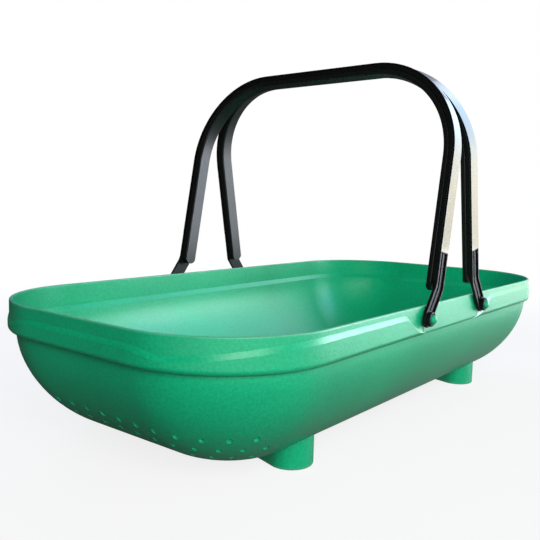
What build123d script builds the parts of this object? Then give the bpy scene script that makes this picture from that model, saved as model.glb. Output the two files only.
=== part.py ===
from build123d import *
import os
from math import asin, atan2, ceil, cos, hypot, radians, sin, tan

# Colander trug: a shallow moulded tub with drain holes, four feet and two folding handles.
# Millimetres. The origin is under the middle of the tub, on the ground that the feet stand on.
# X runs along the tub, Y across it and Z up. Left and right are the -X and +X ends, front and
# back the -Y and +Y sides.

# Rim and band, the upright part of the tub's wall
RIM_LENGTH = 554.0
RIM_WIDTH = 280.0
RIM_CORNER = 88.0
RIM_HEIGHT = 111.5
RIM_ROUND = 1.0
WALL = 2.5
BAND_HEIGHT = 23.5
BAND_OVERHANG_END = 5.0
BAND_OVERHANG_SIDE = 3.0
BAND_ROUND = 2.8
SHELF_DROP = 19.0

# Raised lower part of the band. The middle of its rounded crest is level along each side, slopes down
# under the handle pivots, dips round the corners and rises again to a level stretch on each end. The
# round would run on past the face of the ledge by a spare, so that it meets the face in a soft line.
LEDGE_PROUD = 1.1
LEDGE_SPARE_SIDE = 0.15
LEDGE_SPARE_END = 0.25
LEDGE_ROUND = 14.0
LEDGE_DROP_SIDE = 5.6
LEDGE_DROP_CORNER = 17.0
LEDGE_DROP_END = 10.5
LEDGE_LOW_ANGLE = 20.0
LEDGE_PIVOT_REACH = 27.5
LEDGE_PIVOT_SLOPE = 29.0
LEDGE_PIVOT_TURN = 31.0
LEDGE_END_PAST = 6.0
LEDGE_END_SLOPE = 14.0
LEDGE_END_TURN = 90.0

# Bowl under the band: its section is a quarter of a superellipse
GROUND_GAP = 8.0
BOWL_RUN_END = 82.0
BOWL_RUN_SIDE = 74.5
BOWL_CORNER = 85.0
BASE_CORNER = 20.0
BOWL_POWER = 1.8
BOWL_LEVELS = 10

# Drain holes: rows round the left end, a pitch apart on the straight and a turn apart round the
# corners, then a staggered grid over the base
HOLE_DIAMETER = 4.0
HOLE_PITCH = 17.2
HOLE_TURN = 14.2
END_ROWS = ((37.8, 7.0), (46.8, 7.5), (56.7, 7.0), (70.0, 4.5))
BASE_ROW_PITCH = 14.5
BASE_ROWS_EACH_SIDE = 2
BASE_EDGE_MARGIN = 5.0

# Feet: drop-shaped cups, each pegged through the bowl
FOOT_X = 151.0
FOOT_Y = 85.0
FOOT_RADIUS = 17.0
FOOT_TIP_RADIUS = 8.5
FOOT_TAPER_LENGTH = 30.0
FOOT_WALL = 2.5
FOOT_FLOOR = 3.0
FOOT_ROUND = 1.5
FOOT_SEAT_GAP = 0.05
PEG_DIAMETER = 7.0
PEG_CLEARANCE = 0.05

# Handle pivots: a collar and a hollow journal on the band, closed by a headed stud
PIVOT_X = 55.5
PIVOT_DROP = 10.0
PIVOT_SIDE_PLAY = 0.3
COLLAR_DIAMETER = 10.0
JOURNAL_DIAMETER = 5.2
JOURNAL_CLEARANCE = 0.05
STUD_SHANK_DIAMETER = 2.6
STUD_SHANK_LENGTH = 5.6
STUD_SHANK_CLEARANCE = 0.02
STUD_BORE_END_GAP = 0.2
STUD_HEAD_DIAMETER = 7.3
STUD_HEAD_HEIGHT = 4.0
STUD_HEAD_ROUND = 2.8
STUD_HEAD_CLEARANCE = 0.3
SEAM_RIB_WIDTH = 0.8
SEAM_RIB_PROUD = 0.25
SEAM_RIB_END_RISE = 1.8

# Handles: an arched frame with an eye at each foot, a grip inside it and a thin strip outside
MEETING_GAP = 0.3
MEETING_HALF_WIDTH = 9.7
STRAP_WIDTH = 14.5
STRAP_OFFSET = 13.5
ARCH_RISE = 214.5
ARCH_RADIUS = 83.3
STRIP_DEPTH = 1.2
STRIP_END_RISE = 54.0
STRIP_ROUND = 0.4
FRAME_DEPTH = 4.0
FRAME_ROUND = 0.7
SHARP_ANGLE = 20.0
GRIP_DEPTH = 4.6
GRIP_TIP_RISE = 22.9
GRIP_ROUND = 1.6
GRIP_SEAM_ROUND = 0.9
ARM_BAND_CLEARANCE = 0.5
ARM_DEPTH = 2.5
ARM_THINNING_RISE = 24.0
ARM_THINNING_RUN = 9.0
ELBOW_RISE = 26.0
ELBOW_ROUND = 14.0
EYE_DIAMETER = 14.0
EYE_BOSS_DIAMETER = 11.5
EYE_BOSS_PROUD = 3.4
EYE_BOSS_ROUND = 0.8
COUNTERBORE_DEPTH = 1.4
CHANNEL_DEPTH = 1.6
CHANNEL_LIP = 1.6
CHANNEL_END = 0.8
CHANNEL_RIB_WIDTH = 1.0
CHANNEL_RIB_HEIGHT = 0.7
CHANNEL_BOSS_GAP = 0.8

# Heights and places that follow from the sizes above
band_z = RIM_HEIGHT - BAND_HEIGHT
pivot_z = RIM_HEIGHT - PIVOT_DROP
band_face = RIM_WIDTH / 2
ledge_middle = asin(1 - (LEDGE_PROUD / 2 + LEDGE_SPARE_SIDE) / LEDGE_ROUND)
ledge_top = RIM_HEIGHT + LEDGE_ROUND * (1 - cos(ledge_middle))
ledge_side_z = ledge_top - LEDGE_DROP_SIDE
ledge_end_z = ledge_top - LEDGE_DROP_END
ledge_foot_z = band_z - LEDGE_ROUND
ledge_bend_x = PIVOT_X + LEDGE_PIVOT_REACH
ledge_foot_x = ledge_bend_x - (ledge_side_z - ledge_foot_z) / tan(radians(LEDGE_PIVOT_SLOPE))
ledge_low_x = RIM_LENGTH / 2 - RIM_CORNER * (1 - cos(radians(LEDGE_LOW_ANGLE)))
ledge_bend_y = RIM_WIDTH / 2 - RIM_CORNER + LEDGE_END_PAST
ledge_foot_y = ledge_bend_y + RIM_CORNER / 2
ledge_end_fall = RIM_CORNER / 2 * tan(radians(LEDGE_END_SLOPE))
base_half_length = RIM_LENGTH / 2 - BAND_OVERHANG_END - BOWL_RUN_END
base_half_width = RIM_WIDTH / 2 - BAND_OVERHANG_SIDE - BOWL_RUN_SIDE
arm_inner = band_face + LEDGE_PROUD + ARM_BAND_CLEARANCE
arm_outer = arm_inner + ARM_DEPTH
collar_face = arm_inner - PIVOT_SIDE_PLAY
counterbore_floor = arm_outer + EYE_BOSS_PROUD - COUNTERBORE_DEPTH
head_seat = counterbore_floor + PIVOT_SIDE_PLAY
strap_edge = STRAP_OFFSET - STRAP_WIDTH / 2
lean = asin((PIVOT_X - MEETING_HALF_WIDTH) / hypot(ARCH_RISE, strap_edge)) - atan2(strap_edge, ARCH_RISE)
through = RIM_LENGTH
pivots = ((-PIVOT_X, pivot_z), (PIVOT_X, pivot_z))
seam_length = pivot_z - band_z - SEAM_RIB_END_RISE
ENDS = ((-1, "left"), (1, "right"))
SIDES = ((-1, "front"), (1, "back"))


def outline(inset):
    """Rounded rectangle of the rim, drawn in by an inset, in the sketch at hand."""
    RectangleRounded(RIM_LENGTH - 2 * inset, RIM_WIDTH - 2 * inset, RIM_CORNER - inset)


def band_block(proud):
    """The band filled in, as far as a distance proud of its face and rounded underneath."""
    with BuildPart() as block:
        with BuildSketch(Plane.XY.offset(band_z)):
            outline(-proud)
        extrude(amount=BAND_HEIGHT)
        fillet(block.faces().sort_by(Axis.Z)[0].edges(), radius=BAND_ROUND + proud)
    return block.part


def on_ledge_crest(edge):
    """Whether an edge runs along the crest of the raised part of the band."""
    middle = edge @ 0.5
    x = max(abs(middle.X) - RIM_LENGTH / 2 + RIM_CORNER, 0)
    y = max(abs(middle.Y) - RIM_WIDTH / 2 + RIM_CORNER, 0)
    upright = abs((edge % 0.5).Z) > 0.9
    return hypot(x, y) > RIM_CORNER and not upright and edge.bounding_box().max.Z > band_z


def ledge_block(crest, spare):
    """Block under one view of the ledge's crest, with a broad round along it that ends past the face."""
    with BuildPart() as block:
        with BuildSketch(Plane.XY.offset(band_z)):
            outline(-LEDGE_PROUD - spare)
        extrude(amount=through, both=True)
        extrude(crest, amount=through, both=True, mode=Mode.INTERSECT)
        fillet(block.edges().filter_by(on_ledge_crest), radius=LEDGE_ROUND)
    return block.part


def bowl_ring(angle, skin):
    """Half length, half width, corner radius and height of the bowl at one angle of its section."""
    shrink = cos(radians(angle)) ** (2 / BOWL_POWER)
    sink = sin(radians(angle)) ** (2 / BOWL_POWER)
    depth = band_z - GROUND_GAP - skin
    half_length = base_half_length + (BOWL_RUN_END - skin) * shrink
    half_width = base_half_width + (BOWL_RUN_SIDE - skin) * shrink
    corner = BASE_CORNER + (BOWL_CORNER - skin - BASE_CORNER) * shrink
    return half_length, half_width, corner, band_z - depth * sink


def bowl_section(angle, skin):
    """Level section through the bowl at one angle, drawn in by a skin."""
    half_length, half_width, corner, height = bowl_ring(angle, skin)
    with BuildSketch(Plane.XY.offset(height)) as section:
        RectangleRounded(2 * half_length, 2 * half_width, corner)
    return section.sketch


def bowl_solid(skin):
    """The bowl filled in, as far as a skin under its outer face."""
    angles = [90 * level / (BOWL_LEVELS - 1) for level in range(BOWL_LEVELS)]
    with BuildPart() as bowl:
        loft([bowl_section(angle, skin) for angle in angles])
    return bowl.part


def ring_point(angle, place):
    """Point on the bowl's ring at an angle, a number of holes round from the middle of the right end."""
    half_length, half_width, corner, _ = bowl_ring(angle, 0)
    straight = half_width - corner
    if place * HOLE_PITCH <= straight:
        return half_length, place * HOLE_PITCH
    turn = radians((place - straight / HOLE_PITCH) * HOLE_TURN)
    return half_length - corner + corner * cos(turn), straight + corner * sin(turn)


def end_hole_points():
    """Drain holes in the rows round the left end."""
    points = []
    for angle, last in END_ROWS:
        for step in range(int(last) + 1):
            place = last - step
            x, y = ring_point(angle, place)
            points += [(-x, way * y) for way in (-1, 1) if place or way > 0]
    return points


def base_hole_points():
    """Drain holes in the staggered grid over the flat base."""
    half_length = base_half_length - BASE_EDGE_MARGIN
    points = []
    for row in range(-BASE_ROWS_EACH_SIDE, BASE_ROWS_EACH_SIDE + 1):
        shift = 0.5 * (row % 2)
        count = int(half_length / HOLE_PITCH - shift)
        places = [step + shift for step in range(-count - ceil(shift), count + 1)]
        points += [(place * HOLE_PITCH, row * BASE_ROW_PITCH) for place in places]
    return points


def side_plane(side, distance):
    """Upright plane facing out of the front (-1) or back (1), local Y up."""
    return Plane(origin=(0, side * distance, 0), x_dir=(-side, 0, 0), z_dir=(0, side, 0))


def foot_outline(end, side, inset):
    """Drop shape of one foot, drawn in by an inset, in the sketch at hand."""
    with Locations((end * FOOT_X, side * FOOT_Y)):
        Circle(FOOT_RADIUS - inset)
    with Locations((end * FOOT_X, side * (FOOT_Y - FOOT_TAPER_LENGTH))):
        Circle(FOOT_TIP_RADIUS - inset)
    make_hull()


def handle_front(end, distance):
    """Plane of one handle's arch: local X across the tub, local Y up the handle."""
    inward = Vector(-end * cos(lean), 0, -sin(lean))
    origin = Vector(end * PIVOT_X, 0, pivot_z) + inward * distance
    return Plane(origin=origin, x_dir=(0, -end, 0), z_dir=inward)


def handle_side(end, distance):
    """Side view of one handle: local X towards the middle of the tub, local Y up the handle."""
    inward = Vector(-end * cos(lean), 0, -sin(lean))
    return Plane(origin=(end * PIVOT_X, end * distance, pivot_z), x_dir=inward, z_dir=(0, end, 0))


def meeting_plane(end):
    """Upright plane on which one handle's flat meets the other handle's."""
    return Plane(origin=(end * MEETING_GAP / 2, 0, 0), z_dir=(end, 0, 0))


def along_strap(end):
    """Test for a sharp edge of one handle's frame that doesn't run straight across its strap."""
    across = handle_front(end, 0).z_dir

    def test(edge):
        faces = [face for face in edge.topo_parent.faces() if any(edge.is_same(e) for e in face.edges())]
        normals = [face.normal_at(edge @ 0.5) for face in faces]
        sharp = len(normals) == 2 and normals[0].get_angle(normals[1]) > SHARP_ANGLE
        return sharp and edge.length > FRAME_ROUND and abs((edge % 0.5).dot(across)) < 0.99

    return test


def arch_line(depth, foot):
    """Arch at a depth in from its outer face, with legs that end at one rise, in the line at hand."""
    half = arm_outer - depth
    top = ARCH_RISE - depth
    corners = ((half, foot), (half, top), (-half, top), (-half, foot))
    return FilletPolyline(*corners, radius=ARCH_RADIUS - depth)


def frame_face():
    """Front view of the frame, in the sketch at hand: an arch and two legs, thinner at their feet."""
    strap_inner = arm_outer - STRIP_DEPTH - FRAME_DEPTH
    thick = ARM_THINNING_RISE + ARM_THINNING_RUN
    with BuildLine() as arch:
        outer = arch_line(STRIP_DEPTH, STRIP_END_RISE)
        inner = arch_line(STRIP_DEPTH + FRAME_DEPTH, STRIP_END_RISE)
        Line(outer @ 0, inner @ 0)
        Line(outer @ 1, inner @ 1)
    make_face(arch.edges())
    inner_points = ((strap_inner, STRIP_END_RISE), (strap_inner, thick), (arm_inner, ARM_THINNING_RISE))
    with BuildLine() as leg:
        foot = Line((arm_inner, -EYE_DIAMETER), (arm_outer, -EYE_DIAMETER))
        Polyline(foot @ 1, (arm_outer, STRIP_END_RISE), *inner_points, foot @ 0)
    mirror(make_face(leg.edges()), about=Plane.YZ)


def arm_face(inset, top):
    """Side view of one arm, drawn in by an inset, from its eye up to a rise, in the sketch at hand."""
    eye = Circle(EYE_DIAMETER / 2 - inset, mode=Mode.PRIVATE)
    with Locations((STRAP_OFFSET, ELBOW_RISE)):
        elbow = Circle(STRAP_WIDTH / 2 - inset, mode=Mode.PRIVATE)
    make_hull(eye.edges() + elbow.edges())
    with Locations((STRAP_OFFSET, ELBOW_RISE)):
        Rectangle(STRAP_WIDTH - 2 * inset, top - ELBOW_RISE, align=(Align.CENTER, Align.MIN))


def strap_layer(end, depth, thickness, foot, rounds):
    """One layer of a handle's arch, with rounds on edges of its section: 0 inner, -1 outer."""
    with BuildPart() as layer:
        with BuildLine(handle_front(end, STRAP_OFFSET)) as path:
            arch_line(depth + thickness / 2, foot)
        with BuildSketch(Plane(origin=path.line @ 0, x_dir=(0, -end, 0), z_dir=path.line % 0)) as section:
            Rectangle(thickness, STRAP_WIDTH)
            for place, radius in rounds:
                fillet(section.vertices().group_by(Axis.X)[place], radius=radius)
        sweep()
    return layer.part


bowl_outer = bowl_solid(0)
bowl_inner = bowl_solid(WALL)
foot_seat = bowl_solid(-FOOT_SEAT_GAP)

# Crest of the raised part of the band, seen from the side and from the end
with BuildSketch(Plane.XZ) as side_crest:
    with BuildLine():
        bend = (ledge_bend_x, ledge_side_z)
        corner_start = (RIM_LENGTH / 2 - RIM_CORNER, ledge_side_z)
        level = FilletPolyline((ledge_foot_x, ledge_foot_z), bend, corner_start, radius=LEDGE_PIVOT_TURN)
        dip = TangentArc(level @ 1, (ledge_low_x, ledge_top - LEDGE_DROP_CORNER), tangent=(1, 0))
        tail = Line(dip @ 1, dip @ 1 + dip % 1 * LEDGE_ROUND)
        Polyline(tail @ 1, ((tail @ 1).X, ledge_foot_z), level @ 0)
    make_face()
    mirror(about=Plane.YZ)

with BuildSketch(Plane.YZ) as end_crest:
    with BuildLine():
        fall = (ledge_foot_y, ledge_end_z - ledge_end_fall)
        level = FilletPolyline((0, ledge_end_z), (ledge_bend_y, ledge_end_z), fall, radius=LEDGE_END_TURN)
        Polyline(level @ 1, (ledge_foot_y, ledge_foot_z), (0, ledge_foot_z), level @ 0)
    make_face()
    mirror(about=Plane.YZ)

os.makedirs("parts", exist_ok=True)

# Tub
with BuildPart() as tub:
    add(ledge_block(side_crest.sketch, LEDGE_SPARE_SIDE))
    add(ledge_block(end_crest.sketch, LEDGE_SPARE_END))
    add(band_block(LEDGE_PROUD), mode=Mode.INTERSECT)
    add(band_block(0))
    add(bowl_outer)
    with BuildSketch(Plane.XY.offset(RIM_HEIGHT - SHELF_DROP)):
        outline(WALL)
    extrude(amount=SHELF_DROP, mode=Mode.SUBTRACT)
    with BuildSketch(Plane.XY.offset(RIM_HEIGHT - SHELF_DROP)):
        outline(WALL)
    add(bowl_section(0, WALL))
    loft(ruled=True, mode=Mode.SUBTRACT)
    add(bowl_inner, mode=Mode.SUBTRACT)
    fillet(tub.faces().sort_by(Axis.Z)[-1].edges(), radius=RIM_ROUND)
    for side in (-1, 1):
        with BuildSketch(side_plane(side, band_face)):
            with Locations(*pivots):
                Circle(COLLAR_DIAMETER / 2)
        extrude(amount=collar_face - band_face)
        with BuildSketch(side_plane(side, collar_face)):
            with Locations(*pivots):
                Circle(JOURNAL_DIAMETER / 2)
        extrude(amount=head_seat - collar_face)
        with BuildSketch(side_plane(side, head_seat)):
            with Locations(*pivots):
                Circle(STUD_SHANK_DIAMETER / 2 + STUD_SHANK_CLEARANCE)
        extrude(amount=-STUD_SHANK_LENGTH - STUD_BORE_END_GAP, mode=Mode.SUBTRACT)
        with BuildSketch(side_plane(side, band_face)):
            with Locations(*pivots):
                Rectangle(SEAM_RIB_WIDTH, seam_length, align=(Align.CENTER, Align.MAX))
        extrude(amount=SEAM_RIB_PROUD)
    with BuildSketch():
        with Locations(*end_hole_points(), *base_hole_points()):
            Circle(HOLE_DIAMETER / 2)
        with GridLocations(2 * FOOT_X, 2 * FOOT_Y, 2, 2):
            Circle(PEG_DIAMETER / 2 + PEG_CLEARANCE)
    extrude(amount=band_z, mode=Mode.SUBTRACT)
tub.part.label = "tub"
export_step(tub.part, "parts/tub.step")

# Feet and pivot studs, one in each quarter
for end, end_name in ENDS:
    for side, side_name in SIDES:
        with BuildPart() as peg:
            with BuildSketch():
                with Locations((end * FOOT_X, side * FOOT_Y)):
                    Circle(PEG_DIAMETER / 2)
            extrude(amount=band_z)
            add(bowl_inner, mode=Mode.SUBTRACT)

        with BuildPart() as foot:
            with BuildSketch():
                foot_outline(end, side, 0)
            extrude(amount=band_z)
            fillet(foot.faces().sort_by(Axis.Z)[0].edges(), radius=FOOT_ROUND)
            with BuildSketch(Plane.XY.offset(FOOT_FLOOR)):
                foot_outline(end, side, FOOT_WALL)
            extrude(amount=band_z, mode=Mode.SUBTRACT)
            add(foot_seat, mode=Mode.SUBTRACT)
            add(peg.part)
        foot.part.label = f"foot_{side_name}_{end_name}"
        export_step(foot.part, f"parts/foot_{side_name}_{end_name}.step")

        with BuildPart() as stud:
            with BuildSketch(side_plane(side, head_seat)):
                with Locations((-side * end * PIVOT_X, pivot_z)):
                    Circle(STUD_HEAD_DIAMETER / 2)
            extrude(amount=STUD_HEAD_HEIGHT)
            fillet(stud.edges().sort_by(Axis.Y)[0 if side < 0 else -1], radius=STUD_HEAD_ROUND)
            with BuildSketch(side_plane(side, head_seat)):
                with Locations((-side * end * PIVOT_X, pivot_z)):
                    Circle(STUD_SHANK_DIAMETER / 2)
            extrude(amount=-STUD_SHANK_LENGTH)
        stud.part.label = f"pivot_stud_{side_name}_{end_name}"
        export_step(stud.part, f"parts/pivot_stud_{side_name}_{end_name}.step")

# Handles
for end, end_name in ENDS:
    with BuildPart() as frame:
        with BuildSketch(handle_side(end, 0)) as arm:
            arm_face(0, ARCH_RISE)
            fillet(arm.vertices().sort_by_distance((strap_edge, ELBOW_RISE))[0], radius=ELBOW_ROUND)
        extrude(amount=through, both=True)
        with BuildSketch(handle_front(end, 0)):
            frame_face()
        extrude(amount=through, both=True, mode=Mode.INTERSECT)
        fillet(frame.edges().filter_by(along_strap(end)), radius=FRAME_ROUND)
        for side in (-1, 1):
            with BuildSketch(handle_side(end, side * arm_outer)):
                arm_face(CHANNEL_LIP, STRIP_END_RISE - CHANNEL_END)
                Circle(EYE_BOSS_DIAMETER / 2 + CHANNEL_BOSS_GAP, mode=Mode.SUBTRACT)
            extrude(amount=-side * CHANNEL_DEPTH, mode=Mode.SUBTRACT)
            with BuildSketch(handle_side(end, side * (arm_outer - CHANNEL_DEPTH))):
                arm_face(STRAP_WIDTH / 2 - CHANNEL_RIB_WIDTH / 2, STRIP_END_RISE)
            extrude(amount=side * CHANNEL_RIB_HEIGHT)
            with BuildSketch(handle_side(end, side * arm_outer)):
                Circle(EYE_BOSS_DIAMETER / 2)
            extrude(amount=side * EYE_BOSS_PROUD)
            with BuildSketch(handle_side(end, side * counterbore_floor)):
                Circle(STUD_HEAD_DIAMETER / 2 + STUD_HEAD_CLEARANCE)
            extrude(amount=side * COUNTERBORE_DEPTH, mode=Mode.SUBTRACT)
            boss_face = frame.faces().sort_by(Axis.Y)[-1 if end * side > 0 else 0]
            fillet(boss_face.edges(), radius=EYE_BOSS_ROUND)
        with BuildSketch(handle_side(end, 0)):
            Circle(JOURNAL_DIAMETER / 2 + JOURNAL_CLEARANCE)
        extrude(amount=through, both=True, mode=Mode.SUBTRACT)
        split(bisect_by=meeting_plane(end), keep=Keep.TOP)
    frame.part.label = f"handle_frame_{end_name}"
    export_step(frame.part, f"parts/handle_frame_{end_name}.step")

    with BuildPart() as grip:
        rounds = ((0, GRIP_ROUND), (-1, GRIP_SEAM_ROUND))
        add(strap_layer(end, STRIP_DEPTH + FRAME_DEPTH, GRIP_DEPTH, GRIP_TIP_RISE, rounds))
        with BuildSketch(handle_side(end, 0)):
            with Locations((STRAP_OFFSET, GRIP_TIP_RISE + STRAP_WIDTH / 2)):
                Circle(STRAP_WIDTH / 2)
                Rectangle(STRAP_WIDTH, ARCH_RISE, align=(Align.CENTER, Align.MIN))
        extrude(amount=through, both=True, mode=Mode.INTERSECT)
        split(bisect_by=meeting_plane(end), keep=Keep.TOP)
    grip.part.label = f"handle_grip_{end_name}"
    export_step(grip.part, f"parts/handle_grip_{end_name}.step")

    with BuildPart() as strip:
        add(strap_layer(end, 0, STRIP_DEPTH, STRIP_END_RISE, ((-1, STRIP_ROUND),)))
        split(bisect_by=meeting_plane(end), keep=Keep.TOP)
    strip.part.label = f"handle_strip_{end_name}"
    export_step(strip.part, f"parts/handle_strip_{end_name}.step")
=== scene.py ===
"""Colander trug: plastics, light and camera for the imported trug."""

from math import cos, pi, radians, sin

import bpy
from mathutils import Matrix, Vector


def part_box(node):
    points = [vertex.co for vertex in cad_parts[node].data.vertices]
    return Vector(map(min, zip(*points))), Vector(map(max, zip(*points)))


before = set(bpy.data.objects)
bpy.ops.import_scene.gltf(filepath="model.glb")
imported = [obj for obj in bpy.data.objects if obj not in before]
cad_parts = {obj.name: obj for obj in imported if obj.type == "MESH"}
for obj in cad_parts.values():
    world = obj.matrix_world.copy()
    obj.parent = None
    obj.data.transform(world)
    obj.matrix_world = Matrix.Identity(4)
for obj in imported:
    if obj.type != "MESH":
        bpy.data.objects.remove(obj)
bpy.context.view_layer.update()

bl_info = {
    "name": "Colander trug",
    "version": (1, 0, 0),
    "blender": (4, 5, 0),
    "location": "View3D > Sidebar > Trug",
    "description": "Dresses the packed trug in its plastics and sets it on a studio stage",
    "category": "Object",
}

MM = 0.001
SIDES = ("left", "right")
QUARTERS = ("front_left", "front_right", "back_left", "back_right")
WHITE = (1.0, 1.0, 1.0, 1.0)

# Moulded surfaces: the range that most of a noise lies in, the size of the flow marks, the grain's
# share beside them, how far the two take the roughness up and down, and the roughness of a lacquer
NOISE_RANGE = (0.3, 0.7)
FLOW_MM = 70
GRAIN_SHARE = 0.6
GLOSS_SPREAD = 0.05
LACQUER_ROUGHNESS = 0.08

# Pale edge bands, a painted highlight along the rim's edge and wear where the feet stand: where a
# band begins and where it is full, below the top of the rim and above the ground, then the noise and
# the shares of its patches, and how far it pales and dulls the plastic
RIM_HIGHLIGHT_MM = (1.3, 0.1)
FOOT_RUB_MM = (2.5, 0.3)
WEAR_AND_HIGHLIGHT_NOISE = (0.35, 0.65)
WEAR_AND_HIGHLIGHT_SHARES = (0.2, 0.5)
WEAR_AND_HIGHLIGHT_COLOUR_SHARE = 0.5
WEAR_AND_HIGHLIGHT_PALENESS = 0.35
RUB_DULLING = 0.15

# The stage is in metres. A colour stop is a place on the colour bar, a colour and a strength.

# Floor: the camera sees it fade to white over a distance from the middle. Gloss sees it shine more
# and more towards the front right, with a pale apron at the front left.
FLOOR_RADIUS = 2.5
FLOOR_CORNERS = 96
FLOOR_PALE = "#f8f8f7"
FLOOR_GREY = "#6c6c6a"
FLOOR_FADE = (0.4, 1.0)
FLOOR_LIFT = 0.82
FLOOR_GLOW = 2.0
SHINE_WAY = (0.5, -0.87, 0.0)
SHINE_RUN = (-0.1, 0.9)
SHINE_STOPS = (
    (0.0, "#ffffff", 0.03), (0.45, "#ffffff", 0.25), (0.75, "#f0f6ff", 0.8), (1.0, "#f0f6ff", 0.9))
APRON_WAY = (-0.5, -0.87, 0.0)
APRON_STOPS = ((0.38, "#ffffff", 0.0), (0.6, "#ffffff", 0.8), (1.0, "#ffffff", 1.0))

# Room: gloss sees it dim, with a pale patch high up at the right
PATCH_WAY = (0.824, -0.016, 0.566)
PATCH_STOPS = (
    (0.4, "#ffffff", 0.02), (0.9, "#e4efff", 0.28), (0.98, "#e0ebff", 0.45), (1.0, "#dceaff", 1.0))
PATCH_GLOW = 1.4

# Lamps, aimed at a point over the middle of the tub: turn from X towards Y and rise in degrees,
# distance, size and colour
LAMP_AIM = Vector((0, 0, 0.12))
LAMPS = {
    "key": (-126, 22, 1.8, (1.5, 1.1), (1.0, 1.0, 1.0)),
    "front": (-60, 22, 2.2, (1.4, 1.4), (0.92, 1.0, 1.15)),
    "right": (0, 30, 2.2, (1.4, 1.4), (0.8, 0.95, 1.5)),
    "back": (70, 30, 2.2, (1.4, 1.4), (0.8, 0.95, 1.5)),
}

# Window at the right: it turns from bright to soft, and fades, over shares of its width from front
# to back, and its stops run from its foot to its head
WINDOW_SIZE = (1.25, 1.15)
WINDOW_MIDDLE = (0.886, -0.437, 0.58)
WINDOW_WAY = Vector((-0.82, 0.57, 0))
WINDOW_TURN = (0.334, 0.395)
WINDOW_FADE = (0.7, 1.0)
WINDOW_FADE_SHARE = 0.45
WINDOW_FRONT_STOPS = (
    (0.0, "#eef4ff", 0.95), (0.28, "#e8f2ff", 0.95), (0.48, "#98ccff", 0.4), (1.0, "#8cc4ff", 0.4))
WINDOW_BACK_STOPS = (
    (0.0, "#fff6d8", 0.115), (0.2, "#fff8e0", 0.16), (0.3, "#f8fdf4", 0.165), (0.45, "#dceefc", 0.17),
    (0.7, "#c0e2fc", 0.165), (0.82, "#d0e4fc", 0.13), (1.0, "#dce8fc", 0.07))

# Card before the near corner, which lights a line along the ledge
CARD_SIZE = (0.24, 0.12)
CARD_MIDDLE = (-0.431, -0.398, 0.208)
CARD_WAY = Vector((0.53, 0.79, -0.31))

# Camera: its sensor in millimetres, and the nearest that it sees
SENSOR_WIDTH = 36
CLIP_START = 0.01


def linear(hex_colour):
    """Linear RGB of an sRGB hex colour."""
    channels = [int(hex_colour[at:at + 2], 16) / 255 for at in (1, 3, 5)]
    return [c / 12.92 if c <= 0.04045 else ((c + 0.055) / 1.055) ** 2.4 for c in channels]


def per_mm(size):
    """Texture scale that gives features of a size in millimetres on Object coordinates."""
    return 1 / (size * MM)


def add_node(tree, kind, inputs=None, stops=(), **settings):
    """Adds a node with its settings, the values or links of its sockets and its colour stops."""
    node = tree.nodes.new(kind)
    for name, value in settings.items():
        setattr(node, name, value)
    for name, value in (inputs or {}).items():
        if isinstance(value, bpy.types.NodeSocket):
            tree.links.new(value, node.inputs[name])
        else:
            node.inputs[name].default_value = value
    for spot, _, _ in stops[1:-1]:
        node.color_ramp.elements.new(spot)
    for at, (spot, colour, strength) in enumerate(stops):
        mark = node.color_ramp.elements[at]
        mark.position = spot
        mark.color = (*(channel * strength for channel in linear(colour)), 1.0)
    return node


def new_material(name):
    """An empty node material."""
    material = bpy.data.materials.new(name)
    material.use_nodes = True
    material.node_tree.nodes.clear()
    return material


def pale_band_of_wear_and_highlight(tree, place, flow, wear_and_highlight_mm, colour, paint, dull):
    """Paint and roughness, paled and dulled in patches from the first height to the second.

    At the feet this is wear; along the rim's edge it is a painted highlight.
    """
    height = add_node(tree, "ShaderNodeSeparateXYZ", {0: place})
    wear_and_highlight_reach = add_node(tree, "ShaderNodeMapRange", {
        "Value": height.outputs["Z"], "From Min": wear_and_highlight_mm[0] * MM, "From Max": wear_and_highlight_mm[1] * MM})
    patch = add_node(tree, "ShaderNodeMapRange", {
        "Value": flow, "From Min": WEAR_AND_HIGHLIGHT_NOISE[0], "From Max": WEAR_AND_HIGHLIGHT_NOISE[1],
        "To Min": WEAR_AND_HIGHLIGHT_SHARES[0], "To Max": WEAR_AND_HIGHLIGHT_SHARES[1]})
    wear_and_highlight = add_node(tree, "ShaderNodeMath", {
        0: wear_and_highlight_reach.outputs["Result"], 1: patch.outputs["Result"]}, operation="MULTIPLY").outputs["Value"]
    # Paler colour in the band: wear at the feet, a painted highlight along the rim's edge
    pale = [channel * WEAR_AND_HIGHLIGHT_COLOUR_SHARE + WEAR_AND_HIGHLIGHT_PALENESS for channel in colour]
    paint_with_wear_and_highlight = add_node(tree, "ShaderNodeMix", {
        0: wear_and_highlight, 6: paint, 7: (*pale, 1.0)}, data_type="RGBA").outputs[2]
    worn_dull = add_node(tree, "ShaderNodeMath", {
        0: wear_and_highlight, 1: RUB_DULLING, 2: dull}, operation="MULTIPLY_ADD").outputs["Value"]
    return paint_with_wear_and_highlight, worn_dull


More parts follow.
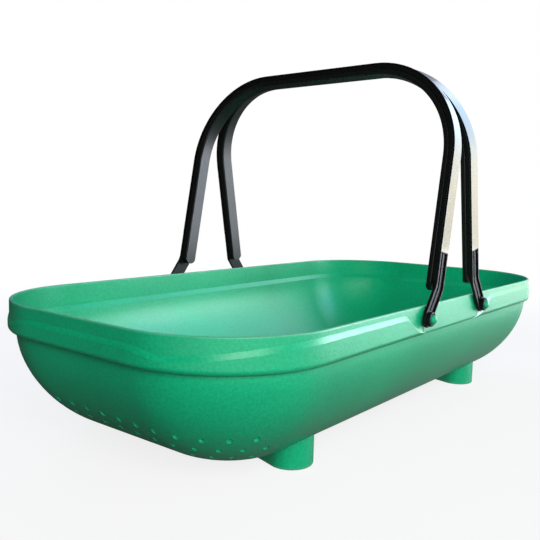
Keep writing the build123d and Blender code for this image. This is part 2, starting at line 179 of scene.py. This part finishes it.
def moulded_plastic(
        name, colour, roughness, ior, grain_mm, grain_height_mm, mottle, wear_and_highlight_mm=None, lacquer=0.0):
    """Injection moulded plastic: a coloured body whose fine grain breaks up its gloss.

    The flow and the grain also mottle the tone by a share. Heights between the two given for the pale
    edge band are paled and dulled: wear at the feet, a painted highlight along the rim's edge.
    """
    material = new_material(name)
    tree = material.node_tree
    place = add_node(tree, "ShaderNodeTexCoord").outputs["Object"]
    flow = add_node(tree, "ShaderNodeTexNoise", {
        "Vector": place, "Scale": per_mm(FLOW_MM), "Detail": 2.0}).outputs["Fac"]
    grain = add_node(tree, "ShaderNodeTexNoise", {
        "Vector": place, "Scale": per_mm(grain_mm), "Detail": 1.0}).outputs["Fac"]
    both = add_node(tree, "ShaderNodeMix", {0: GRAIN_SHARE, 2: flow, 3: grain}).outputs[0]
    tone = add_node(tree, "ShaderNodeMapRange", {
        "Value": both, "From Min": NOISE_RANGE[0], "From Max": NOISE_RANGE[1],
        "To Min": 1 - mottle, "To Max": 1 + mottle})
    dull = add_node(tree, "ShaderNodeMapRange", {
        "Value": both, "From Min": NOISE_RANGE[0], "From Max": NOISE_RANGE[1],
        "To Min": roughness - GLOSS_SPREAD, "To Max": roughness + GLOSS_SPREAD}).outputs["Result"]
    paint = add_node(tree, "ShaderNodeHueSaturation", {
        "Color": (*colour, 1.0), "Value": tone.outputs["Result"]}).outputs["Color"]
    if wear_and_highlight_mm:
        paint, dull = pale_band_of_wear_and_highlight(tree, place, flow, wear_and_highlight_mm, colour, paint, dull)
    relief = add_node(tree, "ShaderNodeBump", {
        "Height": grain, "Strength": 1.0, "Distance": grain_height_mm * MM})
    shader = add_node(tree, "ShaderNodeBsdfPrincipled", {
        "Base Color": paint, "Roughness": dull, "IOR": ior, "Normal": relief.outputs["Normal"],
        "Coat Weight": lacquer, "Coat Roughness": LACQUER_ROUGHNESS})
    add_node(tree, "ShaderNodeOutputMaterial", {"Surface": shader.outputs["BSDF"]})
    return material


def by_ray(tree, seen, mirrored, scattered):
    """One shader for what the camera sees, one for what gloss mirrors and one for all other light."""
    path = add_node(tree, "ShaderNodeLightPath").outputs
    sight = add_node(tree, "ShaderNodeMath", {
        0: path["Is Camera Ray"], 1: path["Is Transmission Ray"]}, operation="ADD")
    unseen = add_node(tree, "ShaderNodeMixShader", {
        0: path["Is Glossy Ray"], 1: scattered.outputs[0], 2: mirrored.outputs[0]})
    surface = add_node(tree, "ShaderNodeMixShader", {
        0: sight.outputs["Value"], 1: unseen.outputs[0], 2: seen.outputs[0]})
    return surface.outputs[0]


def pale_studio_floor():
    """Pale floor that keeps the trug's shadow and turns white further out."""
    material = new_material("pale_studio_floor")
    tree = material.node_tree
    place = add_node(tree, "ShaderNodeTexCoord").outputs["Object"]
    reach = add_node(tree, "ShaderNodeVectorMath", {0: place}, operation="LENGTH")
    fade = add_node(tree, "ShaderNodeMapRange", {
        "Value": reach.outputs["Value"], "From Min": FLOOR_FADE[0], "From Max": FLOOR_FADE[1]},
        interpolation_type="SMOOTHSTEP")
    pale = add_node(tree, "ShaderNodeBsdfDiffuse", {"Color": (*linear(FLOOR_PALE), 1.0)})
    white = add_node(tree, "ShaderNodeEmission", {"Color": WHITE, "Strength": 1.0})
    lifted = add_node(tree, "ShaderNodeMixShader", {
        0: FLOOR_LIFT, 1: pale.outputs[0], 2: white.outputs[0]})
    seen = add_node(tree, "ShaderNodeMixShader", {
        0: fade.outputs["Result"], 1: lifted.outputs[0], 2: white.outputs[0]})
    along = add_node(tree, "ShaderNodeVectorMath", {0: place, 1: SHINE_WAY}, operation="DOT_PRODUCT")
    run = add_node(tree, "ShaderNodeMapRange", {
        "Value": along.outputs["Value"], "From Min": SHINE_RUN[0], "From Max": SHINE_RUN[1]})
    shine = add_node(tree, "ShaderNodeValToRGB", {0: run.outputs["Result"]}, SHINE_STOPS)
    ahead = add_node(tree, "ShaderNodeVectorMath", {0: place, 1: APRON_WAY}, operation="DOT_PRODUCT")
    apron = add_node(tree, "ShaderNodeValToRGB", {0: ahead.outputs["Value"]}, APRON_STOPS)
    lighter = add_node(tree, "ShaderNodeMix", {
        0: 1.0, 6: shine.outputs["Color"], 7: apron.outputs["Color"]},
        data_type="RGBA", blend_type="LIGHTEN")
    mirrored = add_node(tree, "ShaderNodeEmission", {"Color": lighter.outputs[2], "Strength": FLOOR_GLOW})
    grey = add_node(tree, "ShaderNodeBsdfDiffuse", {"Color": (*linear(FLOOR_GREY), 1.0)})
    add_node(tree, "ShaderNodeOutputMaterial", {"Surface": by_ray(tree, seen, mirrored, grey)})
    return material


def dress(node, material):
    """Gives a node of the frame its material."""
    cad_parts[node].data.materials.clear()
    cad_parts[node].data.materials.append(material)


class TrugFinish(bpy.types.PropertyGroup):
    """Colours of the trug's plastics."""

    tub_green: bpy.props.FloatVectorProperty(
        name="Tub green", description="Polypropylene of the tub and its feet",
        subtype="COLOR", size=3, min=0, max=1, default=linear("#0ab27c"))
    stud_green: bpy.props.FloatVectorProperty(
        name="Stud green", description="Polypropylene of the pivot studs",
        subtype="COLOR", size=3, min=0, max=1, default=linear("#12ad78"))
    handle_black: bpy.props.FloatVectorProperty(
        name="Handle black", description="Polypropylene of the handle frames",
        subtype="COLOR", size=3, min=0, max=1, default=linear("#090a0a"))
    grip_black: bpy.props.FloatVectorProperty(
        name="Grip black", description="Elastomer of the grips",
        subtype="COLOR", size=3, min=0, max=1, default=linear("#101112"))
    strip_black: bpy.props.FloatVectorProperty(
        name="Strip black", description="Glossy strips on the outside of the handles",
        subtype="COLOR", size=3, min=0, max=1, default=linear("#0a0b0c"))


class TrugStage(bpy.types.PropertyGroup):
    """Camera and light of the studio."""

    camera_place: bpy.props.FloatVectorProperty(
        name="Camera place", description="Where the camera stands", subtype="TRANSLATION",
        unit="LENGTH", size=3, default=(-0.5265, -0.3575, 0.1888))
    camera_heading: bpy.props.FloatProperty(
        name="Camera heading", description="Turn of the view from X towards Y", subtype="ANGLE",
        default=radians(38.231))
    camera_dip: bpy.props.FloatProperty(
        name="Camera dip", description="How far the camera looks down", subtype="ANGLE",
        default=radians(5.969))
    camera_roll: bpy.props.FloatProperty(
        name="Camera roll", description="Roll of the camera about its view", subtype="ANGLE",
        default=radians(1.517))
    camera_lens: bpy.props.FloatProperty(
        name="Lens", description="Focal length on a 36 mm sensor", unit="CAMERA", default=43.85)
    key_light: bpy.props.FloatProperty(
        name="Key light", description="Light of the lamp at the front left, on a surface that faces it",
        default=0.93, min=0)
    front_light: bpy.props.FloatProperty(
        name="Front light", description="Light of the lamp at the front right, on a surface that faces it",
        default=0.05, min=0)
    right_light: bpy.props.FloatProperty(
        name="Right light", description="Light of the lamp at the right, on a surface that faces it",
        default=0.2, min=0)
    back_light: bpy.props.FloatProperty(
        name="Back light", description="Light of the lamp behind, on a surface that faces it",
        default=0.32, min=0)
    room_light: bpy.props.FloatProperty(
        name="Room light", description="Strength of the even light of the room", default=0.06, min=0)
    window_light: bpy.props.FloatProperty(
        name="Window light", description="Brightness of the tall soft window at the right",
        default=17.0, min=0)
    card_light: bpy.props.FloatProperty(
        name="Card light", description="Brightness of the card before the near corner",
        default=4.5, min=0)


class TRUG_OT_finish_tub(bpy.types.Operator):
    """Give the tub and its feet their green moulded polypropylene"""

    bl_idname = "trug.finish_tub"
    bl_label = "Finish tub and feet"

    def execute(self, context):
        finish = context.scene.trug_finish
        # Polypropylene from a blasted tool: a deep green with a wide, soft sheen and a faint mottle.
        # The grain is drawn coarser than the real one, so that it shows. The rim's edge is paled as a
        # painted highlight.
        blasted = dict(roughness=0.37, ior=1.58, grain_mm=1.8, grain_height_mm=0.1, mottle=0.16)
        rim_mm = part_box("tub")[1].z / MM
        material = moulded_plastic(
            "green_moulded_polypropylene", finish.tub_green, **blasted,
            wear_and_highlight_mm=[rim_mm - depth for depth in RIM_HIGHLIGHT_MM])
        dress("tub", material)
        # The same plastic, scuffed where the feet stand.
        material = moulded_plastic(
            "green_foot_polypropylene", finish.tub_green, **blasted, wear_and_highlight_mm=FOOT_RUB_MM)
        for quarter in QUARTERS:
            dress(f"foot_{quarter}", material)
        return {"FINISHED"}


class TRUG_OT_finish_studs(bpy.types.Operator):
    """Give the pivot studs their green polypropylene"""

    bl_idname = "trug.finish_studs"
    bl_label = "Finish pivot studs"

    def execute(self, context):
        finish = context.scene.trug_finish
        # Polypropylene from a smooth tool: a brighter green with a small, clear highlight on each head.
        material = moulded_plastic(
            "green_stud_polypropylene", finish.stud_green,
            roughness=0.28, ior=1.49, grain_mm=0.9, grain_height_mm=0.01, mottle=0.03)
        for quarter in QUARTERS:
            dress(f"pivot_stud_{quarter}", material)
        return {"FINISHED"}


class TRUG_OT_finish_handles(bpy.types.Operator):
    """Give the handle frames, grips and strips their black plastics"""

    bl_idname = "trug.finish_handles"
    bl_label = "Finish handles"

    def execute(self, context):
        finish = context.scene.trug_finish
        # Polypropylene from a spark-eroded tool: a deep black whose fine grain keeps its shine dull.
        # The grain is drawn coarser than the real one, so that it shows.
        black = moulded_plastic(
            "black_moulded_polypropylene", finish.handle_black,
            roughness=0.55, ior=1.36, grain_mm=1.0, grain_height_mm=0.02, mottle=0.12)
        # Soft elastomer: a satin bloom that turns grey where it faces the window.
        rubber = moulded_plastic(
            "black_elastomer", finish.grip_black,
            roughness=0.42, ior=1.43, grain_mm=1.0, grain_height_mm=0.03, mottle=0.12)
        # Plastic from a polished tool under a clear lacquer: it mirrors the window, a little waved by
        # its flow.
        gloss = moulded_plastic(
            "black_gloss_plastic", finish.strip_black,
            roughness=0.14, ior=1.47, grain_mm=6.0, grain_height_mm=0.004, mottle=0.1, lacquer=1.0)
        for side in SIDES:
            dress(f"handle_frame_{side}", black)
            dress(f"handle_grip_{side}", rubber)
            dress(f"handle_strip_{side}", gloss)
        return {"FINISHED"}


class TRUG_OT_stage(bpy.types.Operator):
    """Set up the floor, the light and the camera"""

    bl_idname = "trug.stage"
    bl_label = "Set stage"

    def execute(self, context):
        stage = context.scene.trug_stage
        self.floor()
        self.room(context.scene, stage)
        for name, settings in LAMPS.items():
            self.lamp(f"{name}_lamp", getattr(stage, f"{name}_light"), *settings)
        self.window(stage)
        self.card(stage)
        self.camera(context.scene, stage)
        context.scene.view_settings.view_transform = "Standard"
        return {"FINISHED"}

    def floor(self):
        """Round floor under the trug."""
        bpy.ops.mesh.primitive_circle_add(
            vertices=FLOOR_CORNERS, radius=FLOOR_RADIUS, fill_type="NGON", location=(0, 0, 0))
        floor = bpy.context.object
        floor.name = "floor"
        floor.data.materials.append(pale_studio_floor())

    def room(self, scene, stage):
        """White background for the camera, with a dim room for gloss and an even light for the rest."""
        world = bpy.data.worlds.new("studio_room")
        world.use_nodes = True
        scene.world = world
        tree = world.node_tree
        tree.nodes.clear()
        way = add_node(tree, "ShaderNodeTexCoord").outputs["Generated"]
        near = add_node(tree, "ShaderNodeVectorMath", {0: way, 1: PATCH_WAY}, operation="DOT_PRODUCT")
        patch = add_node(tree, "ShaderNodeValToRGB", {0: near.outputs["Value"]}, PATCH_STOPS)
        white = add_node(tree, "ShaderNodeBackground", {"Color": WHITE, "Strength": 1.0})
        mirrored = add_node(tree, "ShaderNodeBackground", {
            "Color": patch.outputs["Color"], "Strength": PATCH_GLOW})
        even = add_node(tree, "ShaderNodeBackground", {"Color": WHITE, "Strength": stage.room_light})
        add_node(tree, "ShaderNodeOutputWorld", {"Surface": by_ray(tree, white, mirrored, even)})

    def panel(self, name, place, way, size):
        """Rectangular area light at a place, shining along a way."""
        bpy.ops.object.light_add(type="AREA", location=place)
        lamp = bpy.context.object
        lamp.name = name
        lamp.rotation_mode = "QUATERNION"
        lamp.rotation_quaternion = way.to_track_quat("-Z", "Y")
        lamp.data.shape = "RECTANGLE"
        lamp.data.size, lamp.data.size_y = size
        lamp.visible_camera = False
        return lamp

    def lamp(self, name, level, turn, rise, distance, size, colour):
        """Soft lamp that doesn't show in gloss, as bright as gives a level on a surface that faces it."""
        flat = cos(radians(rise))
        way = Vector((cos(radians(turn)) * flat, sin(radians(turn)) * flat, sin(radians(rise))))
        lamp = self.panel(name, LAMP_AIM + distance * way, -way, size)
        lamp.data.energy = level * pi * pi * (distance ** 2 + size[0] * size[1] / 4)
        lamp.data.color = colour
        lamp.visible_glossy = False

    def window(self, stage):
        """Tall window at the right that only shows in gloss.

        Its front third is bright, white below and blue above. The rest is softer, warm below and blue
        above, and fades towards the back.
        """
        lamp = self.panel("window_lamp", WINDOW_MIDDLE, WINDOW_WAY, WINDOW_SIZE)
        lamp.data.energy = pi * WINDOW_SIZE[0] * WINDOW_SIZE[1]
        lamp.visible_diffuse = False
        lamp.data.use_nodes = True
        tree = lamp.data.node_tree
        tree.nodes.clear()
        across = add_node(tree, "ShaderNodeNewGeometry").outputs["Parametric"]
        share = add_node(tree, "ShaderNodeSeparateXYZ", {0: across})
        front = add_node(tree, "ShaderNodeValToRGB", {0: share.outputs["Y"]}, WINDOW_FRONT_STOPS)
        back = add_node(tree, "ShaderNodeValToRGB", {0: share.outputs["Y"]}, WINDOW_BACK_STOPS)
        turn = add_node(tree, "ShaderNodeMapRange", {
            "Value": share.outputs["X"], "From Min": WINDOW_TURN[0], "From Max": WINDOW_TURN[1]},
            interpolation_type="SMOOTHSTEP")
        fade = add_node(tree, "ShaderNodeMapRange", {
            "Value": share.outputs["X"], "From Min": WINDOW_FADE[0], "From Max": WINDOW_FADE[1],
            "To Min": stage.window_light, "To Max": WINDOW_FADE_SHARE * stage.window_light})
        blend = add_node(tree, "ShaderNodeMix", {
            0: turn.outputs["Result"], 6: front.outputs["Color"], 7: back.outputs["Color"]},
            data_type="RGBA")
        glow = add_node(tree, "ShaderNodeEmission", {
            "Color": blend.outputs[2], "Strength": fade.outputs["Result"]})
        add_node(tree, "ShaderNodeOutputLight", {"Surface": glow.outputs[0]})

    def card(self, stage):
        """Small card before the near corner that only shows in gloss, as a line along the ledge."""
        lamp = self.panel("card_lamp", CARD_MIDDLE, CARD_WAY, CARD_SIZE)
        lamp.data.energy = stage.card_light * pi * CARD_SIZE[0] * CARD_SIZE[1]
        lamp.visible_diffuse = False

    def camera(self, scene, stage):
        """Camera at the photograph's place, turned by its heading, dip and roll."""
        heading, dip, roll = stage.camera_heading, stage.camera_dip, stage.camera_roll
        ahead = Vector((cos(heading) * cos(dip), sin(heading) * cos(dip), -sin(dip)))
        level = Vector((sin(heading), -cos(heading), 0))
        upward = level.cross(ahead)
        right = cos(roll) * level + sin(roll) * upward
        up = -sin(roll) * level + cos(roll) * upward
        bpy.ops.object.camera_add(location=stage.camera_place)
        camera = bpy.context.object
        camera.name = "photo_camera"
        turn = Matrix((right, up, -ahead)).transposed()
        camera.rotation_mode = "QUATERNION"
        camera.rotation_quaternion = turn.to_quaternion()
        camera.data.lens = stage.camera_lens
        camera.data.sensor_width = SENSOR_WIDTH
        camera.data.clip_start = CLIP_START
        scene.camera = camera


class TRUG_PT_sidebar(bpy.types.Panel):
    """Panel with the trug's settings and steps."""

    bl_idname = "TRUG_PT_sidebar"
    bl_label = "Colander trug"
    bl_space_type = "VIEW_3D"
    bl_region_type = "UI"
    bl_category = "Trug"

    def draw(self, context):
        for group in (context.scene.trug_finish, context.scene.trug_stage):
            for name in group.__annotations__:
                self.layout.prop(group, name)
        for step in STEPS:
            self.layout.operator(step.bl_idname)


STEPS = (TRUG_OT_finish_tub, TRUG_OT_finish_studs, TRUG_OT_finish_handles, TRUG_OT_stage)
CLASSES = (TrugFinish, TrugStage, *STEPS, TRUG_PT_sidebar)


def register():
    for cls in CLASSES:
        bpy.utils.register_class(cls)
    bpy.types.Scene.trug_finish = bpy.props.PointerProperty(type=TrugFinish)
    bpy.types.Scene.trug_stage = bpy.props.PointerProperty(type=TrugStage)


def unregister():
    del bpy.types.Scene.trug_stage
    del bpy.types.Scene.trug_finish
    for cls in reversed(CLASSES):
        bpy.utils.unregister_class(cls)


def main():
    register()
    bpy.ops.object.select_all(action="DESELECT")
    for step in STEPS:
        group, name = step.bl_idname.split(".")
        getattr(getattr(bpy.ops, group), name)()


if __name__ == "__main__":
    main()
